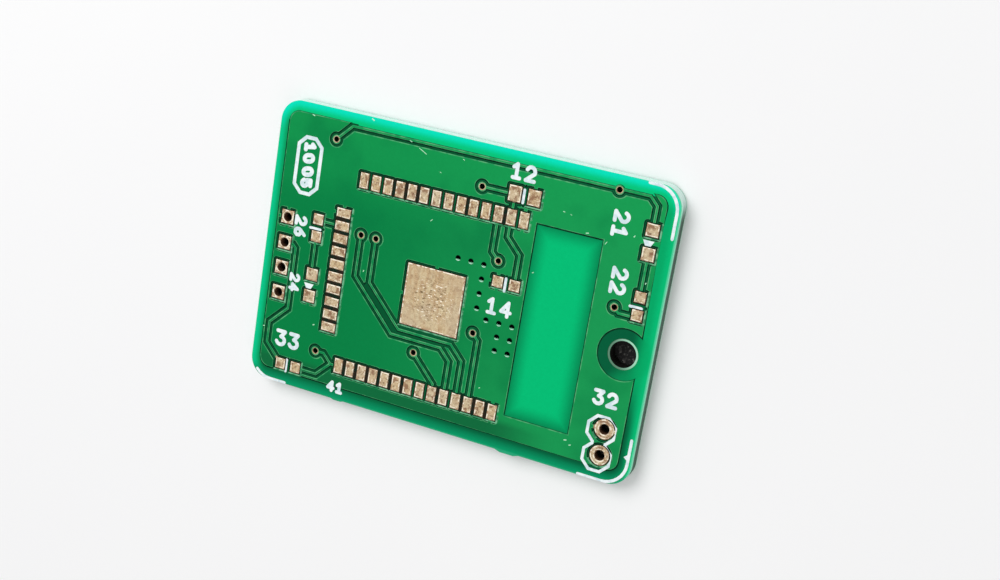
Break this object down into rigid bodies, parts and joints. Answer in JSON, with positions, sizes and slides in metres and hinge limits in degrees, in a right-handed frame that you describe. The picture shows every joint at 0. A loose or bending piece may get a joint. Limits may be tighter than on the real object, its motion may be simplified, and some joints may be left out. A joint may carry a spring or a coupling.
{
  "type": "bare circuit board",
  "caption": "Unpopulated two-layer green circuit board for a small radio module, with gold-finished pads, plated holes, a mounting hole and a white legend",
  "frame": {"origin": "middle of the board's outline in plan, on the lowest surface of the bottom solder mask", "axes": "+X along the board's length, from the four-pin header to the mounting hole; +Y across it, towards the bracket corner beside the large capacitor pads; +Z out of the component side"},
  "size_m": [0.0404, 0.0282, 0.0016],
  "materials": {
    "laminate": "satin",
    "copper_foil": "satin",
    "plated_copper": "satin",
    "gold_finish": "satin",
    "solder_mask": "gloss",
    "legend_ink": "matte"
  },
  "bodies": {
    "root": {"laminate": "laminate", "ground_plane_top": "copper_foil", "led_feed_track": "copper_foil", "supply_track": "copper_foil", "enable_track": "copper_foil", "resistor_to_column_track": "copper_foil", "resistor_to_led_track": "copper_foil", "header_track": "copper_foil", "corner_track": "copper_foil", "pair_tracks": "copper_foil", "row_via_tracks": "copper_foil", "right_resistor_tracks": "copper_foil", "plain_module_lands": "copper_foil", "plain_header_lands": "copper_foil", "ground_plane_bottom": "copper_foil", "bottom_tracks": "copper_foil", "signal_via_barrels": "plated_copper", "stitching_via_barrels": "plated_copper", "four_pin_barrels": "plated_copper", "two_pin_barrels": "plated_copper", "back_row_gold": "gold_finish", "front_row_gold": "gold_finish", "column_gold": "gold_finish", "thermal_pad_gold": "gold_finish", "large_capacitor_gold": "gold_finish", "small_capacitor_gold": "gold_finish", "right_led_gold": "gold_finish", "left_led_gold": "gold_finish", "right_resistor_gold": "gold_finish", "left_resistor_gold": "gold_finish", "corner_resistor_gold": "gold_finish", "four_pin_gold": "gold_finish", "two_pin_gold": "gold_finish", "signal_via_gold": "gold_finish", "solder_mask_top": "solder_mask", "solder_mask_bottom": "solder_mask", "header_outline_ink": "legend_ink", "corner_line_ink": "legend_ink", "bar_mark_ink": "legend_ink", "led_mark_ink": "legend_ink", "frame_ink": "legend_ink"}
  },
  "joints": []
}
